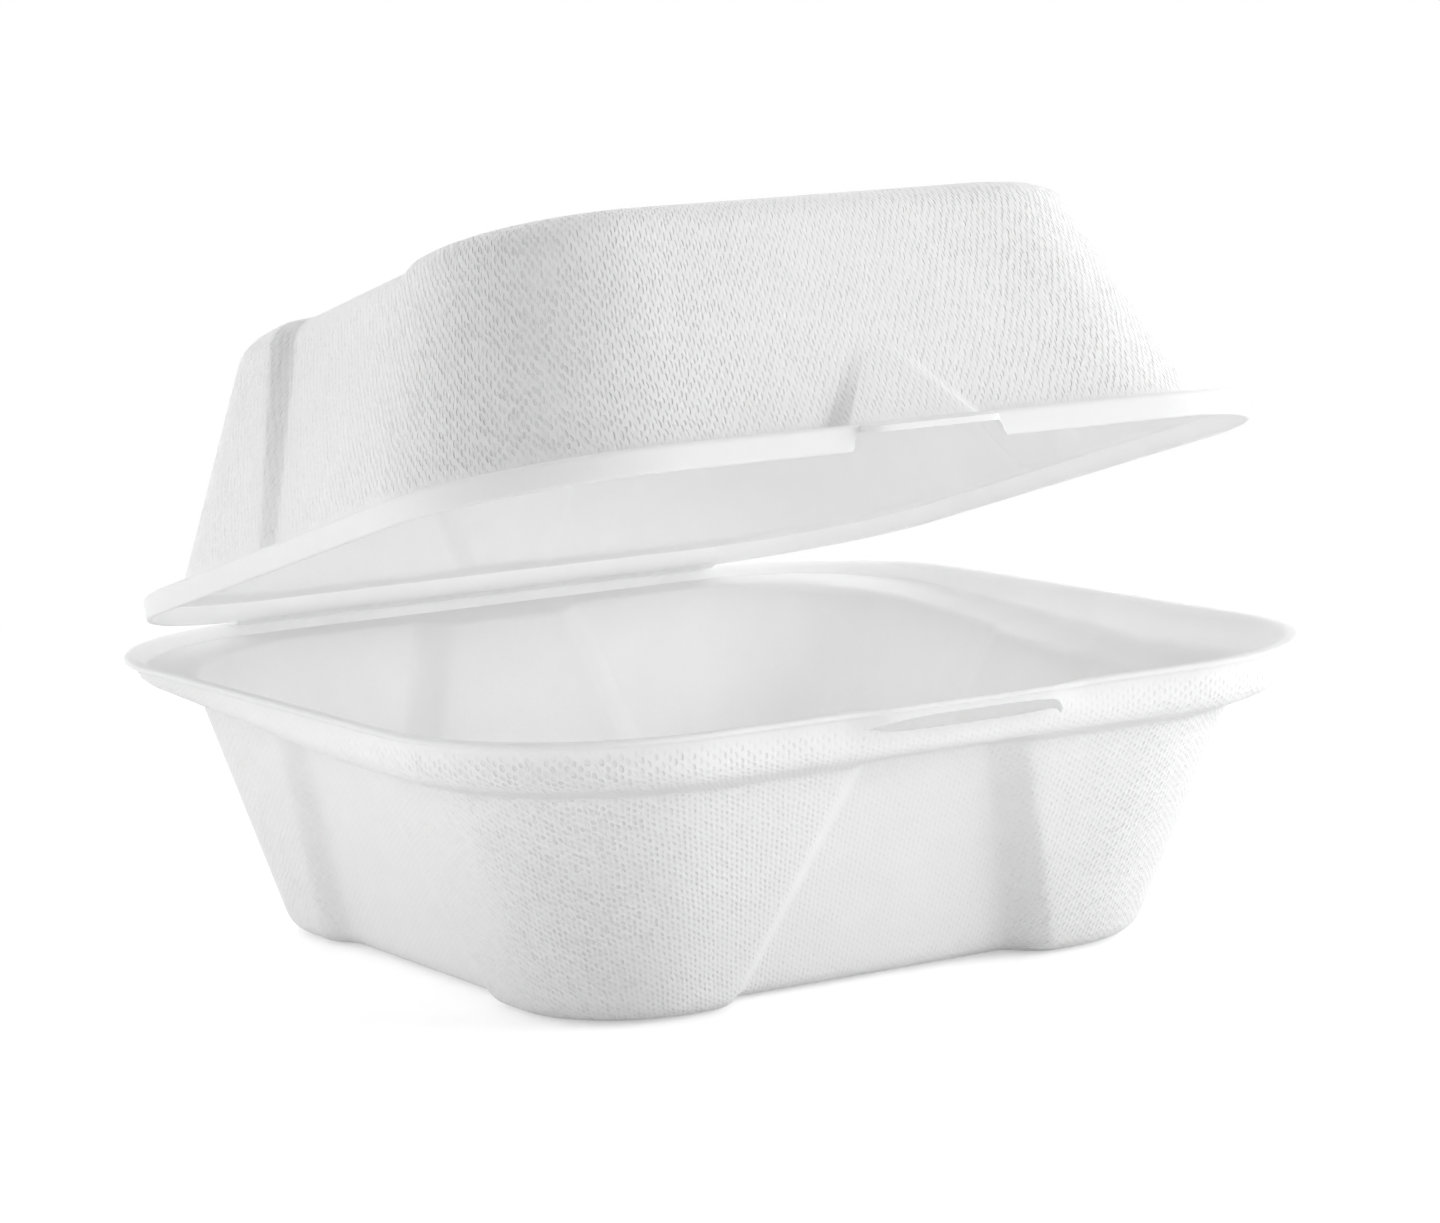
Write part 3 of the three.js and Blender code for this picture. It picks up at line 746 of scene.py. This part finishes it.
# A cloud is about 8 mm across and a grain of fibre about half a millimetre.
CLOUDS_PER_METRE, GRAINS_PER_METRE = 130.0, 1900.0
MARK_DEPTH_MM = 0.17
GRAIN_HEIGHT_MM = 0.03
# How much painted shade darkens the inside of a dent.
PAINTED_DENT_SHADE = 0.04


def moulded_pulp(name, marks=None):
    """Bleached moulded cane pulp. marks holds the wire marks' sizes, or nothing on a smooth piece."""
    material = bpy.data.materials.new(name)
    material.use_nodes = True
    tree = material.node_tree
    tree.nodes.clear()
    place = add_node(tree, "ShaderNodeTexCoord").outputs["Object"]
    cloud = add_node(tree, "ShaderNodeTexNoise", Vector=place, Scale=CLOUDS_PER_METRE, Detail=5.0,
                     Roughness=0.6)
    grain = add_node(tree, "ShaderNodeTexNoise", Vector=place, Scale=GRAINS_PER_METRE, Detail=4.0,
                     Roughness=0.65)
    colour = add_node(tree, "ShaderNodeMix", {"data_type": "RGBA"}, _0=cloud.outputs["Fac"],
                      _6=linear(PULP_WHITE), _7=linear(PULP_SHADE)).outputs[2]
    normal = add_node(tree, "ShaderNodeBump", Height=grain.outputs["Fac"], Distance=GRAIN_HEIGHT_MM * MM,
                      Strength=1.0).outputs[0]
    if marks:
        shown = add_node(tree, "ShaderNodeAttribute", {"attribute_name": "wire_mark"}).outputs["Fac"]
        dents = add_node(tree, "ShaderNodeMath", {"operation": "MULTIPLY"}, _0=wire_marks(tree, **marks),
                         _1=shown).outputs[0]
        normal = add_node(tree, "ShaderNodeBump", {"invert": True}, Height=dents, Distance=MARK_DEPTH_MM * MM,
                          Strength=1.0, Normal=normal).outputs[0]
        # A dent sees less of the light around it, so painted shade makes it a little darker inside.
        painted_shade = add_node(tree, "ShaderNodeMath", {"operation": "MULTIPLY"}, _0=dents,
                         _1=PAINTED_DENT_SHADE).outputs[0]
        colour = add_node(tree, "ShaderNodeMix", {"data_type": "RGBA"}, _0=painted_shade, _6=colour,
                          _7=(0, 0, 0, 1)).outputs[2]
    surface = add_node(tree, "ShaderNodeBsdfPrincipled", Base_Color=colour, Roughness=PULP_ROUGHNESS,
                       Specular_IOR_Level=PULP_SHINE, Normal=normal)
    through = add_node(tree, "ShaderNodeBsdfTranslucent", Color=colour, Normal=normal)
    mixed = add_node(tree, "ShaderNodeMixShader", _0=PULP_GLOW, _1=surface.outputs[0], _2=through.outputs[0])
    add_node(tree, "ShaderNodeOutputMaterial", Surface=mixed.outputs[0])
    return material


tray_pulp = moulded_pulp("moulded_pulp_tray", dict(
    around=570, pitch_across=0.8, pitch_up=1.1, half_width=0.32, half_length=0.42, lean=0.35,
    on_sides=0.3, on_corners=1.3))
lid_pulp = moulded_pulp("moulded_pulp_lid", dict(
    around=736, pitch_across=0.62, pitch_up=2.0, half_width=0.26, half_length=0.72, lean=0.15,
    on_sides=0.7, on_corners=1.55))
smooth_pulp = moulded_pulp("moulded_pulp_smooth")

# %% [markdown]
# Each piece now gets its finish. The shells stand for the two solids and ride on their bodies, and the
# crease stays where it was drawn.

# %% Finish and tie
SHARP_ANGLE = math.radians(50)
for piece, pulp in ((tray, tray_pulp), (lid, lid_pulp), (crease, smooth_pulp)):
    piece.data.materials.clear()
    piece.data.materials.append(pulp)
    piece.data.shade_smooth()
    piece.data.set_sharp_from_angle(angle=SHARP_ANGLE)

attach(tray, "tray")
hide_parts("tray")
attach(lid, "lid")
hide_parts("lid")
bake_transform(crease)

# %% [markdown]
# A product picture like this one is made with large softboxes beside and behind the object, in front of
# white paper, which lights the box too. From the camera's side there is only the room's glow, low down. The
# corner that faces the camera is then the darkest place and both sides are bright. The thin sheet lets some
# of the light behind it through, which fills both halves.

# %% The floor and the lights
FLOOR_SIZE, FLOOR_BELOW = 8, 0.0002
FLOOR_WHITE = "#F2F2F2"
FLOOR_LIFT = 0.34
FLOOR_LIT_TO, FLOOR_WHITE_FROM = 0.16, 0.4
ROOM_FRONT, ROOM_BACK = 1.69, 1.25
# Where each part of the room's light starts and ends. The first and last compare directions with the
# camera's, and the middle one is how far a direction points up.
FRONT_SPREAD, LOW_SPREAD, BACK_SPREAD = (0.0, 0.9), (0.1, 0.5), (-0.6, 0.5)
BOX_DISTANCE, BOX_AIM_HEIGHT = 1.2, 0.05
BOX_SIZE = (0.9, 1.1)
# Name, direction round the box, height above it in degrees, and power in watts.
SOFTBOXES = (
    ("left_softbox", -100, 12, 4.2),
    ("left_back_softbox", -140, 12, 4.6),
    ("right_softbox", 50, 12, 15.8),
    ("right_back_softbox", 125, 15, 4.8),
    ("back_softbox", 160, 20, 4.8),
)


def background_mix(tree, factor, first, second):
    """One shader for factor 0 and another for factor 1."""
    return add_node(tree, "ShaderNodeMixShader", _0=factor, _1=first, _2=second).outputs[0]


def studio_floor():
    """White paper. Near the box the camera sees its soft shadow, and further out only white."""
    bpy.ops.mesh.primitive_plane_add(size=FLOOR_SIZE, location=(0, 0, -FLOOR_BELOW))
    floor = bpy.context.object
    floor.name = "studio_floor"
    material = bpy.data.materials.new("white_paper_floor")
    material.use_nodes = True
    tree = material.node_tree
    tree.nodes.clear()
    seen = add_node(tree, "ShaderNodeLightPath").outputs["Is Camera Ray"]
    paper = add_node(tree, "ShaderNodeBsdfDiffuse", Color=linear(FLOOR_WHITE)).outputs[0]
    lift = add_node(tree, "ShaderNodeMath", {"operation": "MULTIPLY"}, _0=seen, _1=FLOOR_LIFT).outputs[0]
    glow = add_node(tree, "ShaderNodeEmission", Color=(1, 1, 1, 1), Strength=lift).outputs[0]
    both = add_node(tree, "ShaderNodeAddShader", _0=paper, _1=glow).outputs[0]
    place = add_node(tree, "ShaderNodeTexCoord").outputs["Object"]
    away = add_node(tree, "ShaderNodeVectorMath", {"operation": "LENGTH"}, _0=place).outputs["Value"]
    far = soft_step(tree, away, FLOOR_LIT_TO, FLOOR_WHITE_FROM)
    blank = add_node(tree, "ShaderNodeMath", {"operation": "MULTIPLY"}, _0=far, _1=seen).outputs[0]
    white = add_node(tree, "ShaderNodeEmission", Color=(1, 1, 1, 1), Strength=1.0).outputs[0]
    add_node(tree, "ShaderNodeOutputMaterial", Surface=background_mix(tree, blank, both, white))
    floor.data.materials.append(material)


def soft_lamp(name, azimuth, elevation, power):
    data = bpy.data.lights.new(name, "AREA")
    data.shape = "RECTANGLE"
    data.size, data.size_y = BOX_SIZE
    data.energy = power
    lamp = bpy.data.objects.new(name, data)
    bpy.context.scene.collection.objects.link(lamp)
    a, e = math.radians(azimuth), math.radians(elevation)
    away = Vector((math.sin(a) * math.cos(e), -math.cos(a) * math.cos(e), math.sin(e)))
    lamp.location = Vector((0, 0, BOX_AIM_HEIGHT)) + away * BOX_DISTANCE
    lamp.rotation_euler = away.to_track_quat("Z", "Y").to_euler()
    lamp.visible_camera = False
    return lamp


def tent_world():
    """White all round for the camera. As light, bright paper behind the box and a low glow in front."""
    world = bpy.data.worlds.new("white_tent")
    bpy.context.scene.world = world
    world.use_nodes = True
    tree = world.node_tree
    tree.nodes.clear()
    direction = add_node(tree, "ShaderNodeTexCoord").outputs["Generated"]
    to_camera = (math.sin(CAMERA_AZIMUTH), -math.cos(CAMERA_AZIMUTH), 0)
    facing = add_node(tree, "ShaderNodeVectorMath", {"operation": "DOT_PRODUCT"}, _0=direction,
                      _1=to_camera).outputs["Value"]
    front = soft_step(tree, facing, *FRONT_SPREAD)
    up = add_node(tree, "ShaderNodeSeparateXYZ", _0=direction).outputs[2]
    level = soft_step(tree, up, *LOW_SPREAD, ROOM_FRONT, 0.0)
    back = soft_step(tree, facing, *BACK_SPREAD, ROOM_BACK, 0.0)
    strength = add_node(tree, "ShaderNodeMath", {"operation": "MULTIPLY_ADD"}, _0=front, _1=level,
                        _2=back).outputs[0]
    tent = add_node(tree, "ShaderNodeBackground", Color=(1, 1, 1, 1), Strength=strength).outputs[0]
    white = add_node(tree, "ShaderNodeBackground", Color=(1, 1, 1, 1), Strength=1.0).outputs[0]
    seen = add_node(tree, "ShaderNodeLightPath").outputs["Is Camera Ray"]
    add_node(tree, "ShaderNodeOutputWorld", Surface=background_mix(tree, seen, tent, white))


studio_floor()
tent_world()
for softbox in SOFTBOXES:
    soft_lamp(*softbox)
bpy.context.scene.view_settings.view_transform = "Standard"
